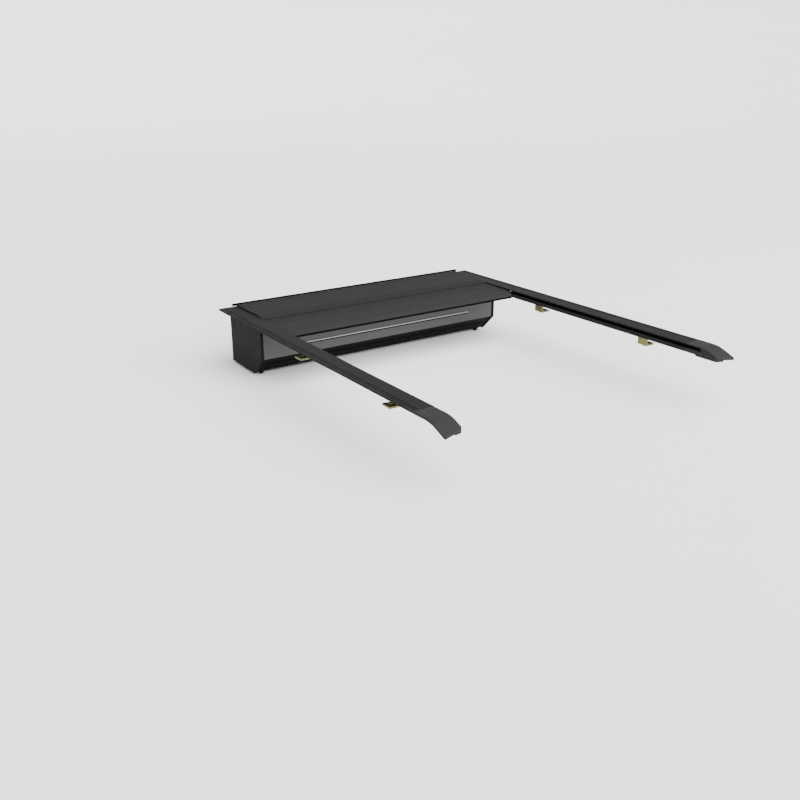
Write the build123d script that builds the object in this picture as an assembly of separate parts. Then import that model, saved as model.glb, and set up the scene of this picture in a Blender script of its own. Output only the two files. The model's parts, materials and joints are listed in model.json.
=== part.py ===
from build123d import *
import math
import os

# Retractable roller tonneau cover for a double-cab pickup bed, shown rolled open.
# Millimetres. +X to the truck's right, +Y towards the cab, +Z up.
# Y 0 is the canister's face against the bed's front wall. Z 0 is the top of the truck's
# bed rails, where the side rails sit. X 0 is the centre line.

# ---- Canister ----
TOP = 8.0                    # top plane of the side rails above the bed rails
CAN_DEPTH = 285.0            # front wall to rear face
CAN_BOTTOM = -224.0
FACE_BOTTOM = -154.0         # where the rear face meets the sloping tray
TRAY_BEND_Y = -213.0         # where the sloping tray meets its floor
CAN_HALF = 598.0             # half width between the end plates
SHEET = 2.5                  # sheet metal thickness
END_PLATE = 10.0
END_PROUD = 3.0              # end plates stand this far outside the sheet metal
RIM_IN = 4.5                 # width of the rim that the sheets screw to
LID_HALF = 577.0
LID_REAR = -251.0
LID_BEVEL_Y = -212.0
LID_BEVEL_Z = 15.0
LID_FRONT_Z = 17.0
LID_CAP = 2.5
TRIM_HALF = 456.0
TRIM_Z = -112.5
TRIM_HEIGHT = 9.0

# ---- Side rails ----
RAIL_IN = 580.0              # inner edge of the rail's top plate
RAIL_LIP_IN = 572.0          # inner edge of the lower lip
RAIL_WEB_IN = 607.0
RAIL_WEB_OUT = 611.0
RAIL_FLANGE_OUT = 642.0
RAIL_OUT = 658.0             # outer edge of the rubber seal strip
PLATE_BOTTOM = 4.0
SLOT_FLOOR = -10.0
LIP_BOTTOM = -22.0
FLANGE_BOTTOM = 3.0
RAIL_START = -290.0          # the slot starts behind the canister
RAIL_END = -1430.0
SEAL_FOOT_X = 626.0

# ---- Rear end caps of the rails ----
CAP_BEND_Y = -1490.0         # the top runs flat to here, then curves down
CAP_BEND_R = 150.0
CAP_SLOPE = 22.0             # slope of the rear end, in degrees
CAP_REAR_IN = -1573.0        # the rear edge is slanted in plan
CAP_REAR_OUT = -1591.0
CAP_CORNER = 11.0
CAP_POCKET_END = -1500.0     # end of the slot inside the cap
CAP_LIP_END = -1508.0
CAP_BOTTOM = -30.0
CAP_SCREWS = ((626.0, -1446.0), (640.0, -1478.0))

# ---- Curtain ----
SLAT_PITCH = 54.0
SLAT_T = 9.0
SLAT_TOP = 2.5
SLAT_MID = SLAT_TOP - SLAT_T / 2
PIVOT_IN = 1.0               # the hinge line lies this far inside the slats' lower face
PIVOT_Z = SLAT_TOP - SLAT_T + PIVOT_IN
SLAT_GAP = 2.6
SLAT_HALF = 584.0
GLIDER_HALF = 594.0
FLAT_SLATS = 4
BAR_FRONT = -343.0           # joint between the first slat and the leading bar
BAR_REAR = -460.0
BAR_HALF = 569.0
BAR_BOTTOM = -17.0
BAR_SEAL_BOTTOM = -25.5
CARRIER_HALF = 592.0
CARRIER_REAR = -412.0
CURTAIN_TRAVEL = 1085.0

# ---- Roll ----
ROLL_R = 95.0                # radius of the hinge lines of the outer turn
ROLL_STEP = 14.5             # radial step from turn to turn
ROLLED_SLATS = 22
TUBE_R = 44.0
TUBE_WALL = 2.0
TUBE_HALF = 578.0
SHAFT_R = 8.0
RUNNING = 0.05               # radial running clearance
ROLL_Y = BAR_FRONT + FLAT_SLATS * SLAT_PITCH
ROLL_Z = PIVOT_Z - ROLL_R

# ---- Lock ----
LOCK_Y = -402.0
LOCK_Z = -5.0
ROD_R = 3.0
BOLT_R = 4.0
BOLT_TIP = 597.0
BOLT_TRAVEL = 14.0
CAM_SHORT = 10.0             # the cam's radius at the rods when unlocked
CAM_CLEAR = 0.8
STRIKE_Y = LOCK_Y - CURTAIN_TRAVEL    # where the bolts are when the cover is closed

# ---- Clamps that hold each rail to the bed ----
CLAMP_YS = (-629.0, -1226.0)
CLAMP_WIDTH = 46.0
CLAMP_FOOT_TOP = -46.0
CLAMP_FOOT_BOTTOM = -52.0
CLAMP_FOOT_OUT = 622.0
CLAMP_BOLT_X = 594.0


# ---- Helpers ----
def box(x0, x1, y0, y1, z0, z1):
    """Solid between two corners."""
    size = (abs(x1 - x0), abs(y1 - y0), abs(z1 - z0))
    centre = ((x0 + x1) / 2, (y0 + y1) / 2, (z0 + z1) / 2)
    return Pos(*centre) * Box(*size)


def prism(corners, direction):
    """Solid swept from a closed polygon of 3-D corners along a direction."""
    face = Face(Wire.make_polygon(corners, close=True))
    return Solid.extrude(face, Vector(*direction))


def prism_x(outline, x0, x1):
    """Y-Z outline swept from x0 to x1."""
    return prism([(x0, y, z) for y, z in outline], (x1 - x0, 0, 0))


def prism_y(outline, y0, y1):
    """X-Z outline swept from y0 to y1."""
    return prism([(x, y0, z) for x, z in outline], (0, y1 - y0, 0))


def rod(radius, start, end):
    """Round bar between two points."""
    a = Vector(*start)
    b = Vector(*end)
    return Solid.make_cylinder(radius, (b - a).length, Plane(origin=a, z_dir=b - a))


def hexagon(flats, start, end):
    """Hexagonal head or nut between two points."""
    a = Vector(*start)
    b = Vector(*end)
    profile = Plane(origin=a, z_dir=b - a) * RegularPolygon(flats / math.sqrt(3), 6)
    return extrude(profile, (b - a).length)


def sheet_outline(path, thickness):
    """Closed outline of a bent sheet: the path, and the path moved to its left by the thickness."""
    inner = []
    for i, (u, v) in enumerate(path):
        before = path[max(i - 1, 0)]
        after = path[min(i + 1, len(path) - 1)]
        into = Vector(u - before[0], v - before[1]) if i > 0 else None
        out = Vector(after[0] - u, after[1] - v) if i < len(path) - 1 else None
        normals = [Vector(-d.Y, d.X).normalized() for d in (into, out) if d is not None]
        mitre = (normals[0] + normals[-1]).normalized()
        reach = thickness / mitre.dot(normals[0])
        inner.append((u + mitre.X * reach, v + mitre.Y * reach))
    return list(path) + inner[::-1]


def both_sides(solid):
    """The right-hand solid and its mirror image."""
    return [solid, mirror(solid, about=Plane.YZ)]


def coil(start, length, radius, wire, turns):
    """Helical spring along +X from a start point."""
    path = Helix(length / turns, length, radius, center=start, direction=(1, 0, 0))
    section = Plane(origin=path @ 0, z_dir=path % 0) * Circle(wire / 2)
    return sweep(section, path=path)


def save(name, *shapes):
    """Write one node; several solids become a group."""
    solids = [solid for shape in shapes for solid in shape.solids()]
    shape = solids[0] if len(solids) == 1 else Compound(children=solids)
    export_step(shape, f"parts/{name}.step")


def save_pair(name, right_solid):
    """Write the right-hand node and the mirrored left-hand one."""
    save(name + "_right", right_solid)
    save(name + "_left", mirror(right_solid, about=Plane.YZ))


# ---- Canister ----
def lid_path():
    """Outer line of the lid from its rear lip over the top to its front flange, as Y-Z points."""
    return [
        (LID_REAR, 3.6),
        (LID_REAR, TOP),
        (LID_BEVEL_Y, LID_BEVEL_Z),
        (-6.0, LID_FRONT_Z),
        (-3.0, LID_FRONT_Z - 3),
        (-3.0, -8.0),
    ]


def canister_lid():
    """Raised sheet over the canister, bevelled down to a lip above the curtain."""
    outline = sheet_outline(lid_path()[::-1], SHEET)
    lid = prism_x(outline, -LID_HALF, LID_HALF)
    ridges = lid.edges().filter_by(Axis.X)
    rear_edge = ridges.filter_by(lambda e: abs(e.center().Y - LID_REAR) < 0.1 and e.center().Z > 7)
    bevel_edge = ridges.filter_by(
        lambda e: abs(e.center().Y - LID_BEVEL_Y) < 0.1 and e.center().Z > LID_BEVEL_Z - 0.1
    )
    lid = fillet(rear_edge, 2.0)
    lid = fillet(lid.edges().filter_by(Axis.X).sort_by_distance(bevel_edge[0].center())[0], 8.0)
    for rivet in lid_rivets():
        lid = lid - rivet
    return lid


def lid_end_cap():
    """Closes the side of the raised lid above the rail."""
    outline = lid_path()[:5] + [(-3.0, 3.6)]
    return prism_x(outline, LID_HALF + 0.1, LID_HALF + 0.1 + LID_CAP)


def bulkhead_seal():
    """Rubber lip on the front wall that laps over the lid."""
    top = LID_FRONT_Z + 0.3
    outer = [(0, 10.1), (0, top + 2.5), (-1.5, top + 4), (-8, top + 3)]
    outline = outer + [(-8, top), (-2.8, top), (-2.8, 10.1)]
    return prism_x(outline, -CAN_HALF, CAN_HALF)


def lid_wiper():
    """Rubber strip that wipes the slats under the lid's rear lip."""
    outline = [(-248.0, 2.9), (-240.0, 2.9), (-240.0, 5.5), (-248.0, 5.5)]
    return prism_x(outline, -LID_HALF + 1, LID_HALF - 1)


def front_wall():
    """Flat panel against the bed's front wall, narrower above the rails' top plates."""
    wall = box(-CAN_HALF, CAN_HALF, -SHEET, 0, CAN_BOTTOM, PLATE_BOTTOM - 0.5)
    return wall + box(-LID_HALF, LID_HALF, -SHEET, 0, PLATE_BOTTOM - 1, 10.0)


def rear_panel():
    """Satin face that looks into the bed, bent inwards under the curtain's way out."""
    path = [(-CAN_DEPTH, FACE_BOTTOM), (-CAN_DEPTH, -13.0), (-262.0, -13.0)]
    return prism_x(sheet_outline(path[::-1], SHEET), -CAN_HALF, CAN_HALF)


def rear_trim_strip():
    """Bright strip with round ends along the rear face."""
    face = Plane(origin=(0, -CAN_DEPTH, TRIM_Z), x_dir=(1, 0, 0), z_dir=(0, -1, 0))
    strip = extrude(face * SlotOverall(2 * TRIM_HALF, TRIM_HEIGHT), 3.0)
    return chamfer(strip.faces().sort_by(Axis.Y)[0].edges(), 1.2)


def exit_glide_strip():
    """Plastic strip that the curtain slides over as it leaves the canister."""
    outline = [(-284, -13), (-264, -13), (-264, -9), (-268, -7), (-280, -7), (-284, -9)]
    return prism_x(outline, 6 - RAIL_IN, RAIL_IN - 6)


def tray():
    """Sloping rear and flat floor, with a stiffening bead along the slope."""
    tab_y = -CAN_DEPTH + SHEET + 0.2
    path = [
        (tab_y, FACE_BOTTOM - 1.0),
        (TRAY_BEND_Y, CAN_BOTTOM),
        (-SHEET - 0.2, CAN_BOTTOM),
        (-SHEET - 0.2, CAN_BOTTOM + 28),
    ]
    skin = prism_x(sheet_outline(path, SHEET), -CAN_HALF, CAN_HALF)
    tab_half = CAN_HALF - RIM_IN
    skin = skin + box(-tab_half, tab_half, tab_y, tab_y + SHEET, FACE_BOTTOM - 2.0, FACE_BOTTOM + 16)
    mid_y = (-CAN_DEPTH + TRAY_BEND_Y) / 2
    mid_z = (FACE_BOTTOM + CAN_BOTTOM) / 2
    along = Vector(TRAY_BEND_Y + CAN_DEPTH, CAN_BOTTOM - FACE_BOTTOM).normalized()
    out = Vector(along.Y, -along.X)
    bead = []
    for run, rise in ((-7, -1), (-3, 2.2), (3, 2.2), (7, -1)):
        bead.append((mid_y + along.X * run + out.X * rise, mid_z + along.Y * run + out.Y * rise))
    return skin + prism_x(bead, -CAN_HALF + 20, CAN_HALF - 20)


def end_plate():
    """Cast plate that closes the canister's right side, with a rim for the sheets."""
    p = END_PROUD
    outline = [
        (-1.0, 3.3),
        (-1.0, CAN_BOTTOM - p),
        (TRAY_BEND_Y - 1.3, CAN_BOTTOM - p),
        (-CAN_DEPTH - p, FACE_BOTTOM - 1.3),
        (-CAN_DEPTH - p, 3.3),
    ]
    plate = prism_x(outline, CAN_HALF + 0.2, CAN_HALF + END_PLATE + 2)
    face = Face(Wire.make_polygon([(CAN_HALF + 0.2, y, z) for y, z in outline], close=True))
    skin = SHEET + p + 0.3
    outer = offset(face, amount=-skin, kind=Kind.INTERSECTION)
    inner = offset(face, amount=-skin - 8, kind=Kind.INTERSECTION)
    rim = extrude(outer, RIM_IN, dir=(-1, 0, 0)) - extrude(inner, RIM_IN, dir=(-1, 0, 0))
    rim = rim - box(500, 620, -400, 20, -16, 40)
    return plate + (rim - tray())


def screw_head_x(x, y, z, radius=5.0, height=2.6):
    """Domed screw head on a face that looks along +X."""
    head = rod(radius, (x, y, z), (x + height, y, z))
    head = fillet(head.edges().sort_by(Axis.X)[-1], height * 0.7)
    return head - hexagon(5.0, (x + height - 1.4, y, z), (x + height + 1, y, z))


def end_plate_screws():
    """Screws through the end plates into the sheets' rims."""
    x = CAN_HALF + END_PLATE + 2
    front = [(-40, -14), (-14, -80), (-14, -190), (-90, -214)]
    rear = [(-190, -214), (-248, -178), (-275, -130), (-275, -60)]
    heads = []
    for y, z in front + rear:
        heads += both_sides(screw_head_x(x, y, z))
    return heads


def lid_rivets():
    """Low rivets in the lid's front edge."""
    rivets = []
    for i in range(9):
        x = (i - 4) * 138.0
        low = LID_FRONT_Z - 1.5
        shank = rod(3.0, (x, -24.0, low), (x, -24.0, LID_FRONT_Z))
        rivets.append(shank + Solid.make_cone(6.0, 4.0, 1.4, Plane(origin=(x, -24.0, LID_FRONT_Z - 0.1))))
    return rivets


def drain_spigot():
    """Hose spigot under the tray, with a flange inside it."""
    x, y = 572.0, -196.0
    flange = rod(16, (x, y, CAN_BOTTOM), (x, y, CAN_BOTTOM - 3))
    stem = rod(9.5, (x, y, CAN_BOTTOM - 3), (x, y, CAN_BOTTOM - 15))
    bore = rod(7.0, (x, y, CAN_BOTTOM + 1), (x, y, CAN_BOTTOM - 16))
    return flange + stem - bore


# ---- Roller and its bearings ----
def roller_shaft():
    half = CAN_HALF
    return rod(SHAFT_R, (-half, ROLL_Y, ROLL_Z), (half, ROLL_Y, ROLL_Z))


def shaft_saddle():
    """Bracket on the end plate that holds the fixed shaft."""
    block = box(592.5, CAN_HALF, ROLL_Y - 18, ROLL_Y + 18, ROLL_Z - 20, ROLL_Z + 20)
    block = chamfer(block.edges().filter_by(Axis.X), 8)
    return block - rod(SHAFT_R, (590, ROLL_Y, ROLL_Z), (600, ROLL_Y, ROLL_Z))


def spring_anchor():
    """Collar on the fixed shaft that holds one end of the torsion spring."""
    ring = rod(25, (-196, ROLL_Y, ROLL_Z), (-186, ROLL_Y, ROLL_Z))
    return ring - rod(SHAFT_R, (-200, ROLL_Y, ROLL_Z), (-180, ROLL_Y, ROLL_Z))


def roller_tube():
    outer = rod(TUBE_R, (-TUBE_HALF, ROLL_Y, ROLL_Z), (TUBE_HALF, ROLL_Y, ROLL_Z))
    return outer - rod(TUBE_R - TUBE_WALL, (-600, ROLL_Y, ROLL_Z), (600, ROLL_Y, ROLL_Z))


def tube_plug():
    """Bush in the tube's end that turns on the shaft."""
    body = rod(TUBE_R - TUBE_WALL, (556, ROLL_Y, ROLL_Z), (TUBE_HALF, ROLL_Y, ROLL_Z))
    flange = rod(TUBE_R, (TUBE_HALF, ROLL_Y, ROLL_Z), (586, ROLL_Y, ROLL_Z))
    boss = rod(14, (586, ROLL_Y, ROLL_Z), (592, ROLL_Y, ROLL_Z))
    return body + flange + boss - rod(SHAFT_R + RUNNING, (550, ROLL_Y, ROLL_Z), (600, ROLL_Y, ROLL_Z))


def torsion_spring():
    return coil((-184, ROLL_Y, ROLL_Z), 360, 19, 4.0, 18)


def spiral_radius(angle):
    return ROLL_R - ROLL_STEP * angle / (2 * math.pi)


def spiral_point(angle):
    """Y-Z point on the roll; angle 0 is the top, growing over the front."""
    radius = spiral_radius(angle)
    return Vector(0, ROLL_Y + radius * math.sin(angle), ROLL_Z + radius * math.cos(angle))


def next_joint(angle):
    """Angle of the joint one slat pitch further along the spiral."""
    start = spiral_point(angle)
    low = angle
    high = angle + math.pi / 2
    for _ in range(40):
        middle = (low + high) / 2
        if (spiral_point(middle) - start).length < SLAT_PITCH:
            low = middle
        else:
            high = middle
    return high


def slat_profile():
    """Hollow slat section in Y-Z, centred on the origin."""
    plane = Plane.YZ
    outer = plane * RectangleRounded(SLAT_PITCH - SLAT_GAP, SLAT_T, 1.6)
    inner = plane * Rectangle(SLAT_PITCH - SLAT_GAP - 6, SLAT_T - 3.6)
    return outer - inner


def slat():
    """One slat centred on the origin."""
    return Pos(-SLAT_HALF, 0, 0) * extrude(slat_profile(), 2 * SLAT_HALF, dir=(1, 0, 0))


def hinge_strip(width):
    """Rubber strip that joins two slats, centred on its hinge line."""
    return box(2 - SLAT_HALF, SLAT_HALF - 2, -width / 2, width / 2, -0.8, 1.6)


def glider():
    """Plastic block on the slat's right end that runs in the rail's slot."""
    low = SLOT_FLOOR + 0.3 - SLAT_MID
    high = SLAT_T / 2
    block = box(SLAT_HALF, GLIDER_HALF, -22, 22, low, high)
    return chamfer(block.faces().sort_by(Axis.X)[-1].edges(), 0.8)


def rolled_placements():
    """Where each rolled slat lies, and the hinge line at its outer end."""
    slats = []
    joints = []
    angle = 0.0
    tilt_before = 0.0
    for _ in range(ROLLED_SLATS):
        following = next_joint(angle)
        a = spiral_point(angle)
        b = spiral_point(following)
        tilt = math.degrees(math.atan2((b - a).Z, (b - a).Y))
        middle = (a + b) * 0.5
        slats.append(Pos(0, middle.Y, middle.Z) * Rot(tilt, 0, 0) * Pos(0, 0, SLAT_MID - PIVOT_Z))
        turn = (tilt - tilt_before + 180) % 360 - 180
        joints.append(Pos(0, a.Y, a.Z) * Rot(tilt_before + turn / 2, 0, 0))
        angle = following
        tilt_before = tilt
    return slats, joints


# ---- Curtain ----
def flat_joint(i):
    """Y of the joint at the front of the flat slat number i, where 0 is the leading bar."""
    return BAR_FRONT + i * SLAT_PITCH


def flat_slat(i):
    return Pos(0, flat_joint(i) - SLAT_PITCH / 2, SLAT_MID) * slat()


def flat_hinge_strips():
    return [Pos(0, flat_joint(i), PIVOT_Z) * hinge_strip(SLAT_GAP) for i in range(FLAT_SLATS)]


def flat_gliders():
    gliders = []
    for i in range(1, FLAT_SLATS + 1):
        gliders += both_sides(Pos(0, flat_joint(i) - SLAT_PITCH / 2, SLAT_MID) * glider())
    return gliders


def leading_bar():
    """Hollow extrusion with a sloping nose; the lock rods run inside it."""
    front = BAR_FRONT - SLAT_GAP / 2
    outline = [
        (front, SLAT_TOP),
        (-440.0, SLAT_TOP),
        (BAR_REAR + 6, -4.0),
        (BAR_REAR + 2, BAR_BOTTOM),
        (-374.0, BAR_BOTTOM),
        (-368.0, SLAT_TOP - SLAT_T),
        (front, SLAT_TOP - SLAT_T),
    ]
    cavity = [(-377.0, 0.0), (-440.5, 0.0), (-451.0, -5.0), (-453.5, -14.5), (-377.0, -14.5)]
    neck = [(-349.0, 0.5), (-372.0, 0.5), (-372.0, -4.5), (-349.0, -4.5)]
    bar = prism_x(outline, -BAR_HALF, BAR_HALF)
    bar = bar - prism_x(cavity, -BAR_HALF - 1, BAR_HALF + 1) - prism_x(neck, -BAR_HALF - 1, BAR_HALF + 1)
    spindle = rod(9.0, (0, LOCK_Y, BAR_BOTTOM - 1), (0, LOCK_Y, -14))
    nose = bar.edges().filter_by(Axis.X).sort_by_distance(Vector(0, -440, SLAT_TOP))[0]
    bar = fillet(nose, 6.0)
    brow = bar.edges().filter_by(Axis.X).sort_by_distance(Vector(0, BAR_REAR + 6, -4))[0]
    return fillet(brow, 4.0) - spindle


def bar_carrier():
    """Plastic block on the bar's right end that runs in the rail's slot and guides the lock bolt."""
    low = SLOT_FLOOR + 0.3
    block = box(BAR_HALF, CARRIER_HALF, CARRIER_REAR, BAR_FRONT - 4, low, SLAT_TOP)
    block = chamfer(block.edges().filter_by(Axis.Z).group_by(Axis.X)[-1], 4)
    plug = box(BAR_HALF - 24, BAR_HALF, -438, -380, -14.0, -0.6)
    bore = rod(BOLT_R + RUNNING, (540, LOCK_Y, LOCK_Z), (600, LOCK_Y, LOCK_Z))
    return block + plug - bore


def tail_seal():
    """Black rubber seal under the bar's nose."""
    outline = [
        (BAR_REAR + 2.0, BAR_BOTTOM),
        (BAR_REAR, BAR_BOTTOM - 3),
        (BAR_REAR + 3, BAR_SEAL_BOTTOM),
        (BAR_REAR + 12, BAR_SEAL_BOTTOM),
        (BAR_REAR + 16, BAR_BOTTOM),
    ]
    return prism_x(outline, -BAR_HALF, BAR_HALF)


def lock_housing():
    """Case under the bar around the lock's spindle."""
    plate = box(-48, 48, LOCK_Y - 26, LOCK_Y + 26, BAR_BOTTOM - 6, BAR_BOTTOM)
    plate = fillet(plate.edges().filter_by(Axis.Z), 10)
    plate = chamfer(plate.faces().sort_by(Axis.Z)[0].edges(), 1.5)
    return plate - rod(9.0 + RUNNING, (0, LOCK_Y, BAR_BOTTOM + 1), (0, LOCK_Y, BAR_BOTTOM - 8))


def rod_guides():
    """Blocks inside the bar that carry the lock rods."""
    guides = []
    for x in (150.0, 400.0):
        block = box(x, x + 14, LOCK_Y - 20, LOCK_Y + 20, -14.4, -0.1)
        bore = rod(ROD_R + RUNNING, (x - 1, LOCK_Y, LOCK_Z), (x + 15, LOCK_Y, LOCK_Z))
        guides += both_sides(block - bore)
    return guides


def lock_bolt():
    """Right-hand rod and bolt in one piece, with a collar for its return spring."""
    start = CAM_SHORT + CAM_CLEAR
    point = Solid.make_cone(0.5, ROD_R, 6.0, Plane(origin=(start, LOCK_Y, LOCK_Z), z_dir=(1, 0, 0)))
    thin = rod(ROD_R, (start + 6, LOCK_Y, LOCK_Z), (500, LOCK_Y, LOCK_Z))
    thick = rod(BOLT_R, (500, LOCK_Y, LOCK_Z), (BOLT_TIP, LOCK_Y, LOCK_Z))
    thick = chamfer(thick.edges().sort_by(Axis.X)[-1], 1.5)
    collar = rod(4.7, (330, LOCK_Y, LOCK_Z), (335, LOCK_Y, LOCK_Z))
    return point + thin + thick + collar


def bolt_spring():
    """Return spring between the rod's collar and its outer guide."""
    return coil((337, LOCK_Y, LOCK_Z), 60, 4.1, 0.9, 12)


def lock_cam():
    """Two-lobed spiral cam: a quarter turn pushes both rods out by the bolt travel."""
    points = []
    steps = 8
    for half in (0.0, 180.0):
        for i in range(steps + 1):
            turn = i / steps
            radius = CAM_SHORT + BOLT_TRAVEL * turn
            angle = math.radians(half - 90.0 * turn)
            points.append((radius * math.cos(angle), LOCK_Y + radius * math.sin(angle), LOCK_Z - 3.0))
    first = points[:steps + 1]
    second = points[steps + 1:]
    edges = [Spline(*first), Line(first[-1], second[0]), Spline(*second), Line(second[-1], first[0])]
    cam = extrude(make_face(edges), 6.0, dir=(0, 0, 1))
    return cam


def turn_handle():
    """T-handle under the bar with its spindle up to the cam."""
    z = BAR_BOTTOM - 6.3
    grip = box(-29, 29, LOCK_Y - 8, LOCK_Y + 8, z - 15, z - 3)
    grip = fillet(grip.edges().filter_by(Axis.Z), 6)
    grip = fillet(grip.faces().sort_by(Axis.Z)[0].edges(), 3)
    neck = rod(13, (0, LOCK_Y, z - 4), (0, LOCK_Y, z))
    spindle = rod(9.0, (0, LOCK_Y, z), (0, LOCK_Y, LOCK_Z - 3.0))
    socket = rod(7.0 + RUNNING, (0, LOCK_Y, z - 16), (0, LOCK_Y, z + 6))
    return grip + neck + spindle - socket


def key_cylinder():
    """Key barrel in the handle, with its keyhole."""
    z = BAR_BOTTOM - 6.3
    barrel = rod(7.0, (0, LOCK_Y, z - 14.6), (0, LOCK_Y, z + 5))
    keyhole = box(-1, 1, LOCK_Y - 4, LOCK_Y + 4, z - 16, z - 9)
    return barrel - keyhole


# ---- Side rails ----
def side_rail():
    """Right-hand extrusion: top plate, slot, T-channel below; only the plate passes the canister."""
    section = [
        (RAIL_IN, PLATE_BOTTOM),
        (RAIL_IN, TOP),
        (RAIL_FLANGE_OUT, TOP),
        (RAIL_FLANGE_OUT, FLANGE_BOTTOM),
        (RAIL_WEB_OUT, FLANGE_BOTTOM),
        (RAIL_WEB_OUT, LIP_BOTTOM),
        (RAIL_WEB_IN, LIP_BOTTOM),
        (RAIL_WEB_IN, LIP_BOTTOM + 7),
        (RAIL_LIP_IN + 4, LIP_BOTTOM + 7),
        (RAIL_LIP_IN + 4, LIP_BOTTOM),
        (RAIL_LIP_IN, LIP_BOTTOM),
        (RAIL_LIP_IN, SLOT_FLOOR),
        (RAIL_WEB_IN, SLOT_FLOOR),
        (RAIL_WEB_IN, PLATE_BOTTOM),
    ]
    rail = prism_y(section, RAIL_START, RAIL_END)
    plate = box(RAIL_IN, RAIL_FLANGE_OUT, RAIL_START, 0, PLATE_BOTTOM, TOP)
    groove_x = RAIL_FLANGE_OUT - 5
    vee = [(groove_x - 0.9, TOP + 0.1), (groove_x, TOP - 0.9), (groove_x + 0.9, TOP + 0.1)]
    groove = prism_y(vee, 1, RAIL_END - 1)
    strike = rod(BOLT_R + 1.2, (600, LOCK_Y, LOCK_Z), (620, LOCK_Y, LOCK_Z))
    return rail + plate - groove - strike


def rail_seal():
    """Rubber strip beside and under the rail's flange; its underside is the seat on the bed rail."""
    outline = [
        (SEAL_FOOT_X, 0.0),
        (RAIL_OUT, 0.0),
        (RAIL_OUT, TOP - 2.0),
        (RAIL_OUT - 2.0, TOP),
        (RAIL_FLANGE_OUT + 6, TOP),
        (RAIL_FLANGE_OUT + 5, TOP - 1),
        (RAIL_FLANGE_OUT + 4, TOP),
        (RAIL_FLANGE_OUT + 0.2, TOP - 0.2),
        (RAIL_FLANGE_OUT + 0.2, FLANGE_BOTTOM - 0.2),
        (SEAL_FOOT_X, FLANGE_BOTTOM - 0.2),
    ]
    return prism_y(outline, 0, RAIL_END)


def slot_wiper():
    """Pile strip under the plate's inner edge that brushes the slats."""
    return box(RAIL_IN + 1, RAIL_IN + 7, RAIL_START, RAIL_END + 2, SLAT_TOP + 0.3, PLATE_BOTTOM)


def cap_plan():
    """Plan of the end cap: straight sides, slanted rear edge, rounded inner corner."""
    corners = [
        (RAIL_IN, RAIL_END - 0.2),
        (RAIL_IN, CAP_REAR_IN),
        (RAIL_OUT, CAP_REAR_OUT),
        (RAIL_OUT, RAIL_END - 0.2),
    ]
    plan = make_face(Polyline(*corners, close=True))
    inner_corner = plan.vertices().sort_by_distance(Vector(RAIL_IN, CAP_REAR_IN, 0))[0]
    plan = fillet(inner_corner, CAP_CORNER)
    outer_corner = plan.vertices().sort_by_distance(Vector(RAIL_OUT, CAP_REAR_OUT, 0))[0]
    return fillet(outer_corner, 4.0)


def cap_curve(depth):
    """Side view of a surface this far under the cap's top: flat, curved, then sloping."""
    centre = (CAP_BEND_Y, TOP - CAP_BEND_R)
    flat = Line((RAIL_END - 0.2, TOP - depth), (CAP_BEND_Y, TOP - depth))
    bend = CenterArc(centre, CAP_BEND_R - depth, 90, CAP_SLOPE)
    return [flat, bend, Line(bend @ 1, bend @ 1 + (bend % 1) * 60)]


def cap_slab(lower_path, x0, x1):
    """Solid between the cap's top surface and a lower path, from x0 to x1."""
    upper = cap_curve(0)
    lower_ends = lower_path[0] @ 0, lower_path[-1] @ 1
    sides = [Line(upper[0] @ 0, lower_ends[0]), Line(upper[-1] @ 1, lower_ends[1])]
    face = make_face(upper + lower_path + sides)
    return extrude(Plane.YZ.offset(x0) * face, x1 - x0, dir=(1, 0, 0))


def cap_rim(body):
    """Edges around the cap's top surface, apart from its front end."""
    tops = [face for face in body.faces() if face.normal_at().Z > 0.8 and face.center().Z > CAP_BOTTOM + 10]
    edges = [edge for face in tops for edge in face.edges() if edge.center().Y < RAIL_END - 1]
    return [edge for edge in edges if sum(edge.is_same(other) for other in edges) == 1]


def rail_end_cap():
    """Moulded cap that curves down at the rear: top plate, and a lower block with the slot's end."""
    rear = (cap_curve(0)[-1] @ 1).X
    floor = Polyline(
        (RAIL_END - 0.2, LIP_BOTTOM),
        (CAP_BEND_Y + 18, LIP_BOTTOM),
        (CAP_BEND_Y + 10, CAP_BOTTOM),
        (rear, CAP_BOTTOM),
    )
    body = cap_slab(cap_curve(TOP), RAIL_IN, RAIL_OUT) + cap_slab([floor], RAIL_IN, RAIL_WEB_OUT)
    body = body & extrude(Pos(0, 0, -60) * cap_plan(), 80)
    body = fillet(cap_rim(body), 2.0)
    lip = box(RAIL_LIP_IN, RAIL_IN + 2, RAIL_END - 0.2, CAP_LIP_END, LIP_BOTTOM, SLOT_FLOOR)
    lip = chamfer(lip.edges().filter_by(Axis.Z).sort_by(Axis.Y)[:2].sort_by(Axis.X)[:1], 7.5)
    boss = box(RAIL_WEB_OUT - 1, RAIL_WEB_OUT + 4, STRIKE_Y - 10, STRIKE_Y + 10, -15, 1)
    pocket = box(560, RAIL_WEB_IN, RAIL_END + 5, CAP_POCKET_END, SLOT_FLOOR, PLATE_BOTTOM)
    bolt_way = rod(BOLT_R + 2, (600, STRIKE_Y, LOCK_Z), (RAIL_WEB_OUT + 1.5, STRIKE_Y, LOCK_Z))
    return body + lip + boss - pocket - bolt_way - strike_space()


def strike_space():
    """Space that the strike plate fills in the cap's pocket wall."""
    x = RAIL_WEB_IN
    return box(x - 1.5, x + 1.0, STRIKE_Y - 12, STRIKE_Y + 12, SLOT_FLOOR + 0.5, PLATE_BOTTOM - 0.5)


def strike_plate():
    """Steel plate that takes the lock bolt when the cover is closed."""
    return strike_space() - rod(BOLT_R + 1.2, (600, STRIKE_Y, LOCK_Z), (620, STRIKE_Y, LOCK_Z))


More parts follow.
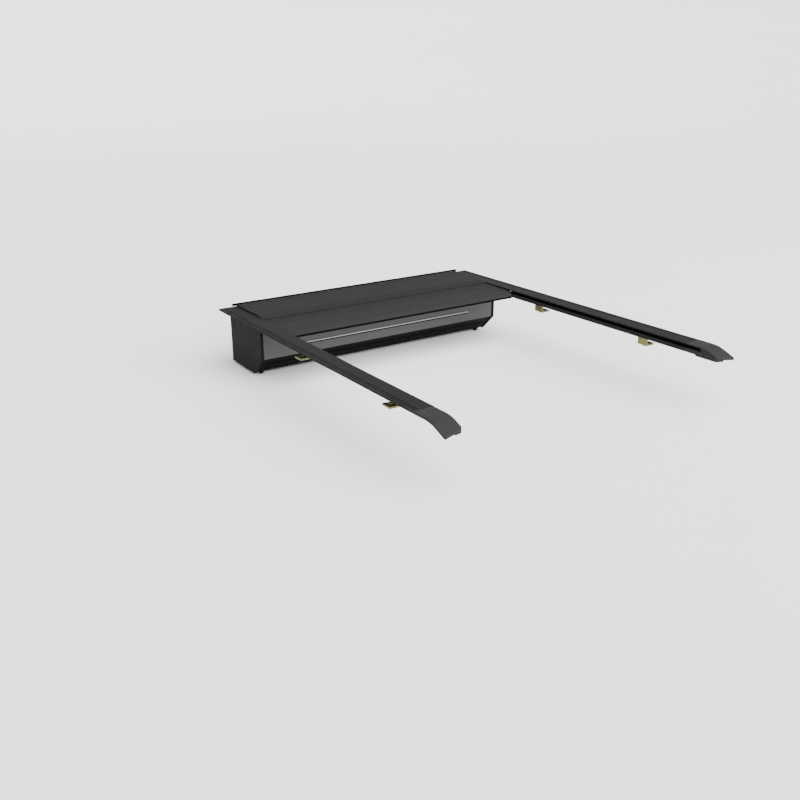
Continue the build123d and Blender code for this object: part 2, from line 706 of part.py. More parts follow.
def end_cap_screws():
    """Screws down through the caps' top plates."""
    screws = []
    for x, y in CAP_SCREWS:
        head = Solid.make_cone(2.5, 5.0, 2.6, Plane(origin=(x, y, TOP - 2.6)))
        shank = rod(2.0, (x, y, TOP - 2.6), (x, y, TOP - 7.5))
        recess = hexagon(3.0, (x, y, TOP - 1.6), (x, y, TOP + 1))
        screws += both_sides(head + shank - recess)
    return screws


def countersinks():
    """Holes in the caps for the screws above."""
    holes = []
    for x, y in CAP_SCREWS:
        holes.append(Solid.make_cone(2.5, 5.0, 2.6, Plane(origin=(x, y, TOP - 2.6))))
        holes.append(rod(2.0, (x, y, TOP - 2.6), (x, y, -1)))
    return holes


# ---- Joining the rails to the canister ----
def rail_bracket():
    """Joggled plate from the end plate's outside to the rail's web."""
    x = CAN_HALF + END_PLATE + 2
    on_plate = box(x, x + 4, -284, -180, -20, 0)
    joggle = box(x, RAIL_WEB_OUT + 4, -289.7, -284, -20, 0)
    on_rail = box(RAIL_WEB_OUT, RAIL_WEB_OUT + 4, -370, -289.7, -20, 0)
    return on_plate + joggle + on_rail


def bracket_bolts():
    bolts = []
    outer = CAN_HALF + END_PLATE + 6
    for y in (-200.0, -250.0):
        bolts += both_sides(hexagon(10.0, (outer, y, -10), (outer + 5, y, -10)))
    for y in (-315.0, -350.0):
        bolts += both_sides(hexagon(10.0, (RAIL_WEB_OUT + 4, y, -10), (RAIL_WEB_OUT + 9, y, -10)))
    return bolts


# ---- Clamps ----
def rail_clamp(y):
    """Right-hand jaw: an upright against the lip and a foot that grips under the bed rail."""
    half = CLAMP_WIDTH / 2
    upright = box(578, 583, y - half, y + half, CLAMP_FOOT_TOP, LIP_BOTTOM + 6.5)
    foot = box(578, CLAMP_FOOT_OUT, y - half, y + half, CLAMP_FOOT_BOTTOM, CLAMP_FOOT_TOP)
    foot = fillet(foot.edges().filter_by(Axis.Y).group_by(Axis.Z)[0].sort_by(Axis.X)[0], 3)
    teeth = []
    for i in range(4):
        x = 608 + 3.5 * i
        low = CLAMP_FOOT_TOP - 0.1
        teeth.append(prism_y([(x, low), (x + 3.4, low), (x + 1.7, low + 1.5)], y - half, y + half))
    jaw = upright + foot
    for tooth in teeth:
        jaw = jaw + tooth
    bore = rod(4.2, (CLAMP_BOLT_X, y, CLAMP_FOOT_TOP + 1), (CLAMP_BOLT_X, y, CLAMP_FOOT_BOTTOM - 1))
    return jaw - bore


def clamp_fasteners():
    """T-nut in the rail's channel and the bolt up into it, at each clamp."""
    pieces = []
    nut_top = LIP_BOTTOM + 6.7
    for y in CLAMP_YS:
        nut = box(584, 604, y - 11, y + 11, LIP_BOTTOM + 0.5, nut_top)
        nut = nut - rod(4.0, (CLAMP_BOLT_X, y, LIP_BOTTOM - 1), (CLAMP_BOLT_X, y, nut_top + 1))
        head = hexagon(13.0, (CLAMP_BOLT_X, y, CLAMP_FOOT_BOTTOM - 5.5), (CLAMP_BOLT_X, y, CLAMP_FOOT_BOTTOM))
        shank = rod(4.0, (CLAMP_BOLT_X, y, CLAMP_FOOT_BOTTOM), (CLAMP_BOLT_X, y, nut_top))
        pieces += both_sides(nut) + both_sides(head + shank)
    return pieces


def build():
    os.makedirs("parts", exist_ok=True)

    save("canister_lid", canister_lid())
    save_pair("lid_end_cap", lid_end_cap())
    save("bulkhead_seal", bulkhead_seal())
    save("lid_wiper", lid_wiper())
    save("canister_front_wall", front_wall())
    save("canister_rear_panel", rear_panel())
    save("rear_trim_strip", rear_trim_strip())
    save("exit_glide_strip", exit_glide_strip())
    save("canister_tray", tray())
    save_pair("end_plate", end_plate())
    save("canister_screws", *end_plate_screws(), *lid_rivets())
    save_pair("drain_spigot", drain_spigot())

    save("roller_shaft", roller_shaft())
    save("shaft_saddles", *both_sides(shaft_saddle()))
    save("spring_anchor", spring_anchor())
    save("roller_tube", roller_tube())
    save("tube_plugs", *both_sides(tube_plug()))
    save("torsion_spring", torsion_spring())
    slat_places, joint_places = rolled_placements()
    save("rolled_slats", *[place * slat() for place in slat_places])
    save("rolled_hinge_strips", *[place * hinge_strip(SLAT_GAP - 1) for place in joint_places])

    for i in range(1, FLAT_SLATS + 1):
        save(f"flat_slat_{i}", flat_slat(i))
    save("slat_hinge_strips", *flat_hinge_strips())
    save("slat_gliders", *flat_gliders())
    save("leading_bar", leading_bar())
    save("bar_tail_seal", tail_seal())
    save_pair("bar_carrier", bar_carrier())
    save("lock_housing", lock_housing())
    save("rod_guides", *rod_guides())
    save_pair("lock_bolt", lock_bolt())
    save_pair("bolt_spring", bolt_spring())
    save("lock_cam", lock_cam())
    save("turn_handle", turn_handle())
    save("key_cylinder", key_cylinder())

    save_pair("side_rail", side_rail())
    save_pair("rail_seal", rail_seal())
    save_pair("slot_wiper", slot_wiper())
    cap = rail_end_cap()
    for hole in countersinks():
        cap = cap - hole
    save_pair("rail_end_cap", cap)
    save("strike_plates", *both_sides(strike_plate()))
    save("end_cap_screws", *end_cap_screws())
    save_pair("rail_bracket", rail_bracket())
    save("bracket_bolts", *bracket_bolts())
    for place, y in zip(("front", "rear"), CLAMP_YS):
        save_pair(f"rail_clamp_{place}", rail_clamp(y))
    save("clamp_fasteners", *clamp_fasteners())


build()
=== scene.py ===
import json
import math

import bmesh
import bpy
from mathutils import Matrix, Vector


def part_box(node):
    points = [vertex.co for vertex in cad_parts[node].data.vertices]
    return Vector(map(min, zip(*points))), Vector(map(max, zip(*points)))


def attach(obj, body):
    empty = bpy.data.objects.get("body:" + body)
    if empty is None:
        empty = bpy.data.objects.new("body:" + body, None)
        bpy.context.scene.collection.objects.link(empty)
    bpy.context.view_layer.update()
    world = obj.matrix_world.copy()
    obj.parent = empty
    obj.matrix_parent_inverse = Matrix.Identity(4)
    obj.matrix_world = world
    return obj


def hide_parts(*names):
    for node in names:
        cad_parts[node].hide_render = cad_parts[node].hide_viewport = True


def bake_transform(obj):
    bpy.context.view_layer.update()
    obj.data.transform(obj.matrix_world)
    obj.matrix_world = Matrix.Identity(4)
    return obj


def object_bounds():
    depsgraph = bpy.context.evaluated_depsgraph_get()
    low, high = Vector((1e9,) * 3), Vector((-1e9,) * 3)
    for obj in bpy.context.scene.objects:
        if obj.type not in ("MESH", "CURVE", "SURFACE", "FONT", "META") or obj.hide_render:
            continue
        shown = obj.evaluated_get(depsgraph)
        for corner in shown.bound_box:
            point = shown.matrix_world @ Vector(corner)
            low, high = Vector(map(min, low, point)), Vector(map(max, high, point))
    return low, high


# Retractable roller tonneau cover for a pickup bed, rolled open.
# Metres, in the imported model's frame: +X to the truck's right, +Y towards the cab, +Z up.

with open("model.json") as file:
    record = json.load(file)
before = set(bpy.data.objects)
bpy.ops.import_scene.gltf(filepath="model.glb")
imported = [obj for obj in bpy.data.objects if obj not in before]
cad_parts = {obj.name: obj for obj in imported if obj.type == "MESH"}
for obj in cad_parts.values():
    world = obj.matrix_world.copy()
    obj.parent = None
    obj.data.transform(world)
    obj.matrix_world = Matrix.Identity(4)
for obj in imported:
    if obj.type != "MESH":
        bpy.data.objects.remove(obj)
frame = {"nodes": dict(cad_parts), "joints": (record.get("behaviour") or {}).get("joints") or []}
cad_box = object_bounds()
nodes = frame["nodes"]
joints = {joint["name"]: joint for joint in frame["joints"]}

MM = 0.001
TRAVEL = joints["curtain_slide"]["range_m"][1]

# ---- Places taken from the frame ----
slat_low, slat_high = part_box("flat_slat_1")
SLAT_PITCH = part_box("flat_slat_2")[0].y - slat_low.y
SLAT_LENGTH = slat_high.y - slat_low.y
SLAT_THICK = slat_high.z - slat_low.z
SLAT_HALF = slat_high.x
SLAT_GAP = SLAT_PITCH - SLAT_LENGTH
GLIDER_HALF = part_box("slat_gliders")[1].x
GLIDER_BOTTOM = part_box("slat_gliders")[0].z


def both(name):
    """The left and right node of a pair."""
    return [f"{name}_left", f"{name}_right"]


# ---- Shaders ----
# Colours are linear. Texture scales are in features a metre, depths of relief in metres.
class Shader:
    """One material: a Principled surface and the texture nodes that feed it."""

    def __init__(self, name, metallic=0.0, specular=0.5):
        self.material = bpy.data.materials.new(name)
        self.material.use_nodes = True
        tree = self.material.node_tree
        self.nodes = tree.nodes
        self.links = tree.links
        self.surface = self.nodes["Principled BSDF"]
        self.surface.inputs["Metallic"].default_value = metallic
        self.surface.inputs["Specular IOR Level"].default_value = specular
        self.place = self.nodes.new("ShaderNodeTexCoord").outputs["Object"]
        self.bumped = None

    def feed(self, value, socket):
        """Sets a socket from a number or colour, or links another node's output to it."""
        if isinstance(value, bpy.types.NodeSocket):
            self.links.new(value, socket)
        elif isinstance(value, tuple) and len(value) == 3 and socket.type == "RGBA":
            socket.default_value = (*value, 1.0)
        else:
            socket.default_value = value

    def stretched(self, x, y, z):
        """Coordinates with their own scale along each axis, for streaks and brushing."""
        node = self.nodes.new("ShaderNodeMapping")
        node.inputs["Scale"].default_value = (x, y, z)
        self.links.new(self.place, node.inputs["Vector"])
        return node.outputs["Vector"]

    def noise(self, scale, detail, roughness=0.55, place=None):
        """Cloudy noise around 0.5, its scale in features a metre."""
        node = self.nodes.new("ShaderNodeTexNoise")
        node.inputs["Scale"].default_value = scale
        node.inputs["Detail"].default_value = detail
        node.inputs["Roughness"].default_value = roughness
        self.links.new(place or self.place, node.inputs["Vector"])
        return node.outputs["Fac"]

    def cells(self, scale, place=None):
        """Distance to the nearest of many scattered points."""
        node = self.nodes.new("ShaderNodeTexVoronoi")
        node.inputs["Scale"].default_value = scale
        self.links.new(place or self.place, node.inputs["Vector"])
        return node.outputs["Distance"]

    def height(self):
        """Height above the frame's origin, in metres."""
        node = self.nodes.new("ShaderNodeSeparateXYZ")
        self.links.new(self.place, node.inputs["Vector"])
        return node.outputs["Z"]

    def span(self, value, low, high, out_low=0.0, out_high=1.0):
        """Carries the range low to high over to out_low to out_high, clamped."""
        node = self.nodes.new("ShaderNodeMapRange")
        self.feed(value, node.inputs["Value"])
        node.inputs["From Min"].default_value = low
        node.inputs["From Max"].default_value = high
        node.inputs["To Min"].default_value = out_low
        node.inputs["To Max"].default_value = out_high
        return node.outputs["Result"]

    def patches(self, scale, detail, low, high, roughness=0.55, place=None):
        """Noise as a mask: 0 where it is below low, 1 where it is above high."""
        return self.span(self.noise(scale, detail, roughness, place), low, high)

    def times(self, a, b):
        node = self.nodes.new("ShaderNodeMath")
        node.operation = "MULTIPLY"
        self.feed(a, node.inputs[0])
        self.feed(b, node.inputs[1])
        return node.outputs["Value"]

    def blend(self, amount, first, second):
        """Colour between first at 0 and second at 1."""
        node = self.nodes.new("ShaderNodeMix")
        node.data_type = "RGBA"
        self.feed(amount, node.inputs["Factor"])
        self.feed(first, node.inputs["A"])
        self.feed(second, node.inputs["B"])
        return node.outputs["Result"]

    def tint(self, body, mask, strength, colour):
        """Lays a colour over the body, at this strength where the mask is 1."""
        return self.blend(self.times(mask, strength), body, colour)

    def edges(self, radius):
        """1 on edges tighter than the radius, 0 on flat ground."""
        bevel = self.nodes.new("ShaderNodeBevel")
        bevel.samples = 4
        bevel.inputs["Radius"].default_value = radius
        flat = self.nodes.new("ShaderNodeNewGeometry").outputs["Normal"]
        dot = self.nodes.new("ShaderNodeVectorMath")
        dot.operation = "DOT_PRODUCT"
        self.links.new(bevel.outputs["Normal"], dot.inputs[0])
        self.links.new(flat, dot.inputs[1])
        # Cosines of the turn between the rounded normal and the true one.
        flat_cosine, edge_cosine = 0.98, 0.80
        return self.span(dot.outputs["Value"], flat_cosine, edge_cosine)

    def rubbed(self, radius, scale, detail, low, high):
        """Mask of the edges, broken up by noise patches."""
        return self.times(self.edges(radius), self.patches(scale, detail, low, high))

    def relief(self, height, depth, strength):
        """Adds a bump of the given depth in metres on top of the earlier ones."""
        node = self.nodes.new("ShaderNodeBump")
        node.inputs["Strength"].default_value = strength
        node.inputs["Distance"].default_value = depth
        self.links.new(height, node.inputs["Height"])
        if self.bumped is not None:
            self.links.new(self.bumped, node.inputs["Normal"])
        self.bumped = node.outputs["Normal"]

    def uneven(self, scale, lowest, highest):
        """Roughness that wanders between two values."""
        return self.span(self.noise(scale, detail=4.0), 0.3, 0.7, lowest, highest)

    def finish(self, colour, roughness):
        self.feed(colour, self.surface.inputs["Base Color"])
        self.feed(roughness, self.surface.inputs["Roughness"])
        if self.bumped is not None:
            self.links.new(self.bumped, self.surface.inputs["Normal"])
        return self.material


WARM_DUST = (0.09, 0.086, 0.082)
PALE_DUST = (0.10, 0.096, 0.092)
DARK_DUST = (0.060, 0.058, 0.056)
RUBBED_PAINT = (0.045, 0.045, 0.045)


def shade(colour, factor):
    """The same colour, lighter or darker."""
    return tuple(channel * factor for channel in colour)


def powder_coat(name, colour, roughness, grain, along):
    """Textured coat: pebbled grain, mottling, pale dust, rubbed edges that are partly a painted
    highlight, die lines along an axis.
    """
    s = Shader(name, specular=0.005)
    mottle = s.patches(7.0, detail=5.0, low=0.32, high=0.68)
    speckle = s.patches(grain * 0.8, detail=2.0, low=0.46, high=0.68)
    body = s.tint(shade(colour, 0.88), speckle, 0.5, shade(colour, 1.7))
    body = s.tint(body, mottle, 0.10, shade(colour, 1.3))
    drifts = s.patches(3.5, detail=6.0, low=0.50, high=0.80, roughness=0.7)
    dust = s.times(drifts, s.patches(160.0, detail=3.0, low=0.45, high=0.75))
    body = s.tint(body, dust, 0.03, WARM_DUST)
    # Lighter edges: rubbed coat, and also a painted highlight along every edge.
    worn = s.rubbed(2.0 * MM, scale=60.0, detail=4.0, low=0.42, high=0.62)
    body = s.tint(body, worn, 0.5, shade(colour, 2.8))
    s.relief(s.noise(grain, detail=2.5, roughness=0.6), depth=0.20 * MM, strength=0.8)
    drawn, across = 0.6, 420.0
    stretch = (drawn, across, across) if along == "x" else (across, drawn, across)
    die_lines = s.noise(1.0, detail=2.0, place=s.stretched(*stretch))
    s.relief(die_lines, depth=0.10 * MM, strength=0.35)
    return s.finish(body, s.uneven(24.0, roughness - 0.04, roughness + 0.04))


def satin_panel():
    """Grey face panel: fine horizontal brushing under a satin coat, with soft smears."""
    s = Shader("face_panel", metallic=0.25, specular=0.3)
    grey = (0.050, 0.050, 0.050)
    along_x = s.stretched(7.0, 900.0, 900.0)
    brushed = s.noise(1.0, detail=3.0, roughness=0.6, place=along_x)
    body = s.blend(s.span(brushed, 0.3, 0.7), shade(grey, 0.90), shade(grey, 1.10))
    smear = s.patches(5.0, detail=5.0, low=0.42, high=0.78, roughness=0.65)
    body = s.tint(body, smear, 0.20, shade(grey, 1.30))
    s.relief(brushed, depth=0.03 * MM, strength=0.5)
    return s.finish(body, s.span(smear, 0.0, 1.0, 0.42, 0.54))


def bright_strip():
    """Brushed bright strip with fine scratches along its length."""
    s = Shader("bright_strip", metallic=0.85)
    silver = (0.40, 0.402, 0.404)
    along_x = s.stretched(12.0, 2600.0, 2600.0)
    brushed = s.noise(1.0, detail=4.0, roughness=0.65, place=along_x)
    body = s.blend(s.span(brushed, 0.3, 0.7), shade(silver, 0.82), shade(silver, 1.12))
    s.relief(brushed, depth=0.03 * MM, strength=0.6)
    return s.finish(body, s.span(brushed, 0.3, 0.7, 0.24, 0.40))


def painted_sheet(name, colour, roughness):
    """Smooth satin paint with orange peel, faint streaks of dust and rubbed edges."""
    s = Shader(name, specular=0.03)
    cloud = s.patches(6.0, detail=5.0, low=0.35, high=0.7)
    body = s.blend(cloud, shade(colour, 0.96), shade(colour, 1.05))
    upright = s.stretched(30.0, 30.0, 4.0)
    streak = s.patches(1.0, detail=4.0, low=0.52, high=0.8, roughness=0.6, place=upright)
    body = s.tint(body, streak, 0.025, DARK_DUST)
    worn = s.rubbed(1.0 * MM, scale=80.0, detail=3.0, low=0.4, high=0.6)
    body = s.tint(body, worn, 0.45, RUBBED_PAINT)
    s.relief(s.noise(320.0, detail=2.0), depth=0.12 * MM, strength=0.5)
    return s.finish(body, s.uneven(30.0, roughness - 0.04, roughness + 0.05))


def moulded(name, colour, roughness, grain):
    """Moulded plastic: spark-eroded grain, slight flow marks, dust, scuffed edges."""
    s = Shader(name, specular=0.03)
    drawn_y = s.stretched(14.0, 5.0, 14.0)
    flow = s.patches(1.0, detail=4.0, low=0.35, high=0.7, roughness=0.6, place=drawn_y)
    body = s.blend(flow, shade(colour, 0.92), shade(colour, 1.08))
    scuff = s.rubbed(1.6 * MM, scale=55.0, detail=4.0, low=0.40, high=0.65)
    body = s.tint(body, scuff, 0.45, shade(colour, 2.0))
    dust = s.patches(220.0, detail=4.0, low=0.55, high=0.8, roughness=0.7)
    body = s.tint(body, dust, 0.08, PALE_DUST)
    s.relief(s.cells(grain), depth=0.16 * MM, strength=0.55)
    s.relief(s.noise(260.0, detail=3.0), depth=0.10 * MM, strength=0.35)
    return s.finish(body, s.uneven(20.0, roughness - 0.06, roughness + 0.08))


def soft_rubber(name, colour):
    """Matte extruded rubber: fine pores and a greyish bloom."""
    s = Shader(name, specular=0.012)
    bloom = s.patches(18.0, detail=5.0, low=0.42, high=0.75, roughness=0.65)
    body = s.tint(colour, bloom, 0.5, shade(colour, 2.4))
    s.relief(s.noise(1500.0, detail=3.0), depth=0.12 * MM, strength=0.7)
    return s.finish(body, s.span(bloom, 0.0, 1.0, 0.62, 0.82))


def pile_strip():
    """Short black pile: tufts that stand in rows."""
    s = Shader("pile", specular=0.05)
    root, tip = (0.0015, 0.0015, 0.0015), (0.009, 0.009, 0.0093)
    tufts = s.cells(1.0, s.stretched(2200.0, 1500.0, 500.0))
    body = s.blend(s.span(tufts, 0.1, 0.6), root, tip)
    s.relief(tufts, depth=0.5 * MM, strength=0.9)
    s.surface.inputs["Sheen Weight"].default_value = 0.05
    return s.finish(body, s.span(tufts, 0.0, 0.7, 0.80, 0.95))


def olive_zinc():
    """Passivated zinc: patchy olive with a brown cast, rubbed edges."""
    s = Shader("olive_zinc", metallic=0.7)
    dark_olive, pale_olive = (0.115, 0.120, 0.040), (0.200, 0.192, 0.070)
    brown, bare_zinc = (0.150, 0.095, 0.060), (0.26, 0.27, 0.25)
    patch = s.patches(45.0, detail=5.0, low=0.32, high=0.70, roughness=0.6)
    body = s.blend(patch, dark_olive, pale_olive)
    cast = s.patches(130.0, detail=3.0, low=0.45, high=0.75)
    body = s.tint(body, cast, 0.3, brown)
    worn = s.rubbed(0.9 * MM, scale=140.0, detail=3.0, low=0.4, high=0.6)
    body = s.tint(body, worn, 0.5, bare_zinc)
    s.relief(s.noise(700.0, detail=3.0), depth=0.10 * MM, strength=0.5)
    return s.finish(body, s.span(patch, 0.0, 1.0, 0.34, 0.52))


def machined(name, colour, roughness, marks_scale):
    """Bare steel with tool marks at their own scale on each axis, and light oil stains."""
    s = Shader(name, metallic=0.95)
    oil = (0.30, 0.24, 0.18)
    marks = s.noise(1.0, detail=3.0, roughness=0.6, place=s.stretched(*marks_scale))
    body = s.blend(s.span(marks, 0.3, 0.7), shade(colour, 0.82), shade(colour, 1.10))
    stain = s.patches(38.0, detail=5.0, low=0.52, high=0.80, roughness=0.65)
    body = s.tint(body, stain, 0.5, shade(oil, colour[0]))
    s.relief(marks, depth=0.05 * MM, strength=0.5)
    return s.finish(body, s.span(stain, 0.0, 1.0, roughness, roughness + 0.2))


def oxide_black():
    """Black oxide fasteners with a brown-blue cast and rubbed crowns."""
    s = Shader("oxide_black", metallic=0.6)
    blue_black, brown_black = (0.010, 0.010, 0.012), (0.022, 0.020, 0.018)
    bare_steel = (0.10, 0.10, 0.10)
    cast = s.patches(180.0, detail=4.0, low=0.35, high=0.7)
    body = s.blend(cast, blue_black, brown_black)
    worn = s.rubbed(0.7 * MM, scale=300.0, detail=3.0, low=0.4, high=0.6)
    body = s.tint(body, worn, 0.6, bare_steel)
    s.relief(s.noise(1200.0, detail=2.0), depth=0.06 * MM, strength=0.5)
    return s.finish(body, s.span(cast, 0.0, 1.0, 0.36, 0.50))


COAT = (0.0178, 0.0178, 0.0180)
# Black rubber, made darker still as painted shade, so the seals show as dark shadow lines.
RUBBER_AND_PAINTED_SHADE = (0.0013, 0.0013, 0.0014)
materials = {
    "lid": powder_coat("lid_coat", COAT, 0.50, 620.0, "x"),
    "slat": powder_coat("slat_coat", COAT, 0.50, 620.0, "x"),
    "bar": powder_coat("bar_coat", shade(COAT, 1.08), 0.48, 620.0, "x"),
    "rail": powder_coat("rail_coat", shade(COAT, 0.92), 0.46, 760.0, "y"),
    # Tray: black paint, darkened further as painted shade for the shadow it lies in.
    "tray": painted_sheet("tray_paint_and_painted_shade", (0.0018, 0.0018, 0.0019), 0.52),
    "plate": painted_sheet("end_plate_paint", (0.0070, 0.0070, 0.0072), 0.54),
    "face": satin_panel(),
    "strip": bright_strip(),
    "cap": moulded("cap_plastic", shade(COAT, 1.25), 0.52, 1100.0),
    "nylon": moulded("nylon", (0.009, 0.009, 0.0094), 0.46, 900.0),
    "lock": painted_sheet("lock_paint", (0.012, 0.012, 0.0125), 0.40),
    # Seal rubber: black, with painted shade darkened into it.
    "rubber": soft_rubber("seal_rubber", RUBBER_AND_PAINTED_SHADE),
    "side_rubber": soft_rubber("side_seal_rubber", shade(COAT, 0.92)),
    "pile": pile_strip(),
    "zinc": olive_zinc(),
    "steel": machined("bright_steel", (0.34, 0.34, 0.35), 0.28, (500.0, 12.0, 12.0)),
    "spring": machined("spring_steel", (0.11, 0.11, 0.115), 0.34, (120.0, 120.0, 120.0)),
    "chrome": machined("key_chrome", (0.45, 0.45, 0.46), 0.16, (60.0, 60.0, 400.0)),
    "screw": oxide_black(),
}

MATERIAL_OF = {
    "lid": ["canister_lid", *both("lid_end_cap")],
    "slat": ["rolled_slats"],
    "bar": ["leading_bar"],
    "rail": both("side_rail"),
    "tray": ["canister_tray", "canister_front_wall"],
    "plate": both("end_plate"),
    "face": ["canister_rear_panel"],
    "strip": ["rear_trim_strip"],
    "cap": both("rail_end_cap"),
    "nylon": [
        "exit_glide_strip",
        *both("drain_spigot"),
        "slat_gliders",
        *both("bar_carrier"),
        "rod_guides",
        "tube_plugs",
    ],
    "lock": ["lock_housing", "turn_handle"],
    "rubber": [
        "bulkhead_seal",
        "lid_wiper",
        "rolled_hinge_strips",
        "slat_hinge_strips",
        "bar_tail_seal",
    ],
    "pile": both("slot_wiper"),
    "zinc": [
        *both("rail_bracket"),
        "bracket_bolts",
        *both("rail_clamp_front"),
        *both("rail_clamp_rear"),
        "clamp_fasteners",
    ],
    "steel": [
        "roller_shaft",
        "shaft_saddles",
        "spring_anchor",
        "roller_tube",
        *both("lock_bolt"),
        "lock_cam",
        "strike_plates",
    ],
    "spring": ["torsion_spring", *both("bolt_spring")],
    "chrome": ["key_cylinder"],
    "screw": ["canister_screws", "end_cap_screws"],
}

for material_name, node_names in MATERIAL_OF.items():
    for node_name in node_names:
        mesh = nodes[node_name].data
        mesh.materials.clear()
        mesh.materials.append(materials[material_name])


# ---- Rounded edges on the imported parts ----
# Radius in millimetres, and the nodes whose edges get it.
ROUNDED = {
    0.5: [
        *both("lid_end_cap"),
        "canister_front_wall",
        "canister_rear_panel",
        "leading_bar",
        "lock_housing",
        "turn_handle",
        *both("bar_carrier"),
        *both("side_rail"),
        *both("rail_end_cap"),
        *both("rail_bracket"),
    ],
    0.6: ["canister_lid", *both("rail_clamp_front"), *both("rail_clamp_rear")],
    0.8: ["canister_tray"],
    1.0: both("end_plate"),
}
SHARP_ANGLE = math.radians(35.0)


def round_edges(node_name, radius):
    """Small bevel on every sharp edge, so the edges catch the light."""
    weld = nodes[node_name].modifiers.new("join", "WELD")
    weld.merge_threshold = 0.01 * MM
    bevel = nodes[node_name].modifiers.new("round", "BEVEL")
    bevel.width = radius
    bevel.segments = 2
    bevel.limit_method = "ANGLE"
    bevel.angle_limit = SHARP_ANGLE
    bevel.harden_normals = True


for radius, node_names in ROUNDED.items():
    for node_name in node_names:
        round_edges(node_name, radius * MM)


# ---- Meshes made here ----
def place_in_scene(name, data):
    """New object with this mesh, light or camera."""
    thing = bpy.data.objects.new(name, data)
    bpy.context.scene.collection.objects.link(thing)
    return thing


def new_object(name, bm, material):
    mesh = bpy.data.meshes.new(name)
    bmesh.ops.recalc_face_normals(bm, faces=bm.faces)
    bm.to_mesh(mesh)
    bm.free()
    mesh.materials.append(material)
    return place_in_scene(name, mesh)


def join_rings(bm, first, second):
    """Joins two rings of vertices with a band of quads."""
    count = len(first)
    for i in range(count):
        j = (i + 1) % count
        bm.faces.new((first[i], first[j], second[j], second[i]))


def join_ends(bm, first, second):
    """Closes the solid between two rings of vertices."""
    join_rings(bm, first, second)
    bm.faces.new(first)
    bm.faces.new(second)


def add_prism(bm, outline, x0, x1, move=lambda y: y):
    """Adds a closed solid: a Y-Z outline between two X positions, its Y changed by move."""
    rings = [[bm.verts.new((x, move(y), z)) for y, z in outline] for x in (x0, x1)]
    join_ends(bm, *rings)


def add_bar(bm, outline, y0, y1):
    """Adds a closed solid: an X-Z outline between two Y positions."""
    rings = [[bm.verts.new((x, y, z)) for x, z in outline] for y in (y0, y1)]
    join_ends(bm, *rings)


def arc(centre, radius, start, end, steps=4):
    """Points of an arc in Y-Z, angles in degrees."""
    points = []
    for i in range(steps + 1):
        angle = math.radians(start + (end - start) * i / steps)
        points.append((centre[0] + radius * math.cos(angle), centre[1] + radius * math.sin(angle)))
    return points


def crisp(piece, angle=SHARP_ANGLE):
    """Smooth shading that keeps edges sharper than the angle."""
    piece.data.shade_smooth()
    piece.data.set_sharp_from_angle(angle=angle)
    return piece


# ---- Slats ----
FLAT_SLATS = 4
# Radii of a slat's upper and lower corners.
SLAT_CORNER = 1.6 * MM
SLAT_FOOT = 1.0 * MM
GROOVES = 5
GROOVE_HALF = 0.8 * MM
GROOVE_DEPTH = 0.55 * MM
# Section of a groove: shares of its half width and of its depth.
GROOVE_SECTION = ((-1.0, 0.0), (-0.45, 0.75), (0.0, 1.0), (0.45, 0.75), (1.0, 0.0))


def slat_outline(rear, z_low):
    """Section of one slat: rounded corners, and shallow grooves along its top."""
    front = rear + SLAT_LENGTH
    top = z_low + SLAT_THICK
    outline = arc((rear + SLAT_CORNER, top - SLAT_CORNER), SLAT_CORNER, 180, 90)
    for i in range(GROOVES):
        y = rear + SLAT_LENGTH * (i + 1) / (GROOVES + 1)
        for step, depth in GROOVE_SECTION:
            outline.append((y + step * GROOVE_HALF, top - depth * GROOVE_DEPTH))
    outline += arc((front - SLAT_CORNER, top - SLAT_CORNER), SLAT_CORNER, 90, 0)
    outline += arc((front - SLAT_FOOT, z_low + SLAT_FOOT), SLAT_FOOT, 0, -90, 3)
    outline += arc((rear + SLAT_FOOT, z_low + SLAT_FOOT), SLAT_FOOT, 270, 180, 3)
    return outline


def flat_slats():
    for i in range(1, FLAT_SLATS + 1):
        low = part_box(f"flat_slat_{i}")[0]
        bm = bmesh.new()
        add_prism(bm, slat_outline(low.y, low.z), -SLAT_HALF, SLAT_HALF)
        piece = crisp(new_object(f"grooved_slat_{i}", bm, materials["slat"]))
        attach(piece, "curtain")
        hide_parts(f"flat_slat_{i}")


# ---- The stretch of curtain between the roll and the flat slats ----
# At rest it is folded up just in front of the flat slats, in this share of the gap between two
# slats. It draws out along the rails with the curtain.
FOLD_SHARE = 0.9
WEB_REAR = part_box("flat_slat_4")[1].y
WEB_FRONT = WEB_REAR + SLAT_GAP * FOLD_SHARE
WEB_SLATS = 20
BISECTIONS = 40

# The hinge strip between two slats, measured up from a slat's underside.
STRIP_LOW = 0.2 * MM
STRIP_HIGH = 2.6 * MM
STRIP_INSET = 2 * MM
STRIP_LAP = 0.2 * MM

# Side view of a glider block: millimetres from the slat's middle, share of the block's height.
# Its inner face stands clear of the slat's end.
GLIDER_SECTION = (
    (-22, 0.2),
    (-21, 0.0),
    (21, 0.0),
    (22, 0.2),
    (22, 0.8),
    (21, 1.0),
    (-21, 1.0),
    (-22, 0.8),
)
GLIDER_CLEARANCE = 0.1 * MM


def web_rest(w):
    """Rest position of the point of the web that follows the curtain with weight w.
    """
    t = 0.5 - math.sin(math.asin(1.0 - 2.0 * w) / 3.0)
    return WEB_FRONT + (WEB_REAR - WEB_FRONT) * t


def folded(y_closed):
    """Rest position of a point of the web that belongs at y_closed when the cover is shut."""
    low = 0.0
    high = 1.0
    for _ in range(BISECTIONS):
        w = (low + high) / 2
        if web_rest(w) - w * TRAVEL > y_closed:
            low = w
        else:
            high = w
    return web_rest((low + high) / 2)


def web_slat_rear(i):
    """Rear edge, when shut, of the web's slat number i, counted from the flat slats."""
    return WEB_REAR - TRAVEL + SLAT_GAP + i * SLAT_PITCH


def web_piece(name, bm, material):
    """One piece of the web, shaded smooth with its sharp edges kept."""
    piece = crisp(new_object(name, bm, material))
    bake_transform(piece)


